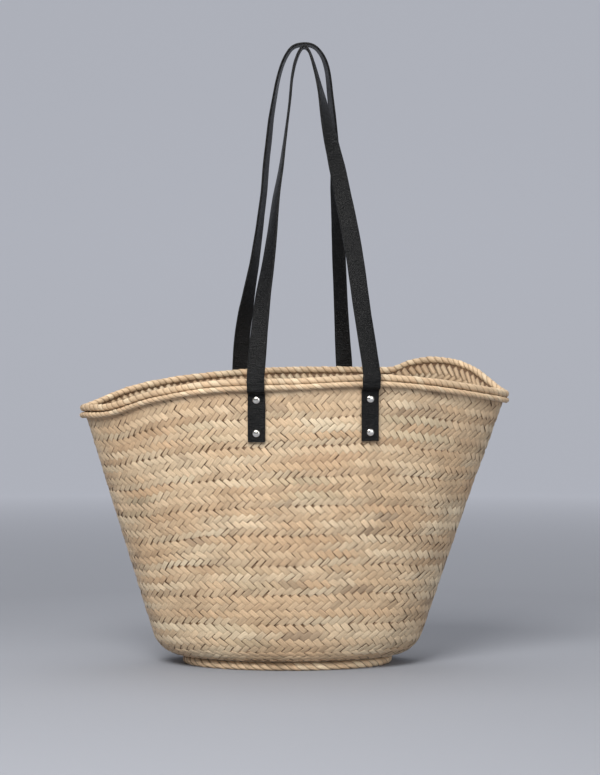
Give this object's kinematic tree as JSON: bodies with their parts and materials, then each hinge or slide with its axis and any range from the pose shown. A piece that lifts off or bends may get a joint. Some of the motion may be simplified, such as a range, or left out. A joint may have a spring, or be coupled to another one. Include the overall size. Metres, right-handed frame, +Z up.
{
  "type": "woven market basket",
  "caption": "Boat-mouthed basket of plaited palm courses with a roped rim and foot, and a pair of riveted black leather shoulder straps that fold down over the outside.",
  "frame": {"origin": "on the floor under the middle of the whole object's box, straps included", "axes": "+X along the mouth, +Y towards the back, +Z up"},
  "size_m": [0.4809, 0.2106, 0.6943],
  "materials": {
    "palm_plait": "dry plaited palm leaf, matt with a faint silky sheen",
    "palm_rope": "palm leaf wrapped and twisted into rope",
    "strap_leather": "black cowhide, fine pebbled grain, semi-matt, cut edges",
    "rivet_metal": "polished nickel plate"
  },
  "bodies": {
    "basket": {"base_centre_plait": "palm_plait", "base_round_plait": "palm_plait", "plait_course_01": "palm_plait", "plait_course_02": "palm_plait", "plait_course_03": "palm_plait", "plait_course_04": "palm_plait", "plait_course_05": "palm_plait", "plait_course_06": "palm_plait", "plait_course_07": "palm_plait", "plait_course_08": "palm_plait", "plait_course_09": "palm_plait", "plait_course_10": "palm_plait", "foot_rope": "palm_rope", "rim_rope": "palm_rope", "rim_cord": "palm_rope", "front_left_strap_end": "strap_leather", "front_right_strap_end": "strap_leather", "back_left_strap_end": "strap_leather", "back_right_strap_end": "strap_leather", "rivet_cap_front_left_upper": "rivet_metal", "rivet_cap_front_left_lower": "rivet_metal", "rivet_cap_front_right_upper": "rivet_metal", "rivet_cap_front_right_lower": "rivet_metal", "rivet_cap_back_left_upper": "rivet_metal", "rivet_cap_back_left_lower": "rivet_metal", "rivet_cap_back_right_upper": "rivet_metal", "rivet_cap_back_right_lower": "rivet_metal", "rivet_post_front_left_upper": "rivet_metal", "rivet_post_front_left_lower": "rivet_metal", "rivet_post_front_right_upper": "rivet_metal", "rivet_post_front_right_lower": "rivet_metal", "rivet_post_back_left_upper": "rivet_metal", "rivet_post_back_left_lower": "rivet_metal", "rivet_post_back_right_upper": "rivet_metal", "rivet_post_back_right_lower": "rivet_metal"},
    "front_strap": {"front_strap_loop": "strap_leather"},
    "back_strap": {"back_strap_loop": "strap_leather"}
  },
  "joints": [
    {"name": "front_strap_bend", "type": "hinge", "parent": "basket", "child": "front_strap", "pos_m": [0.0206, -0.1016, 0.3243], "axis": [0.9981, 0.0499, 0.0352], "range_deg": [0, 150]},
    {"name": "back_strap_bend", "type": "hinge", "parent": "basket", "child": "back_strap", "pos_m": [-0.003, 0.1024, 0.3365], "axis": [-0.9997, -0.0074, -0.0244], "range_deg": [0, 150]}
  ]
}
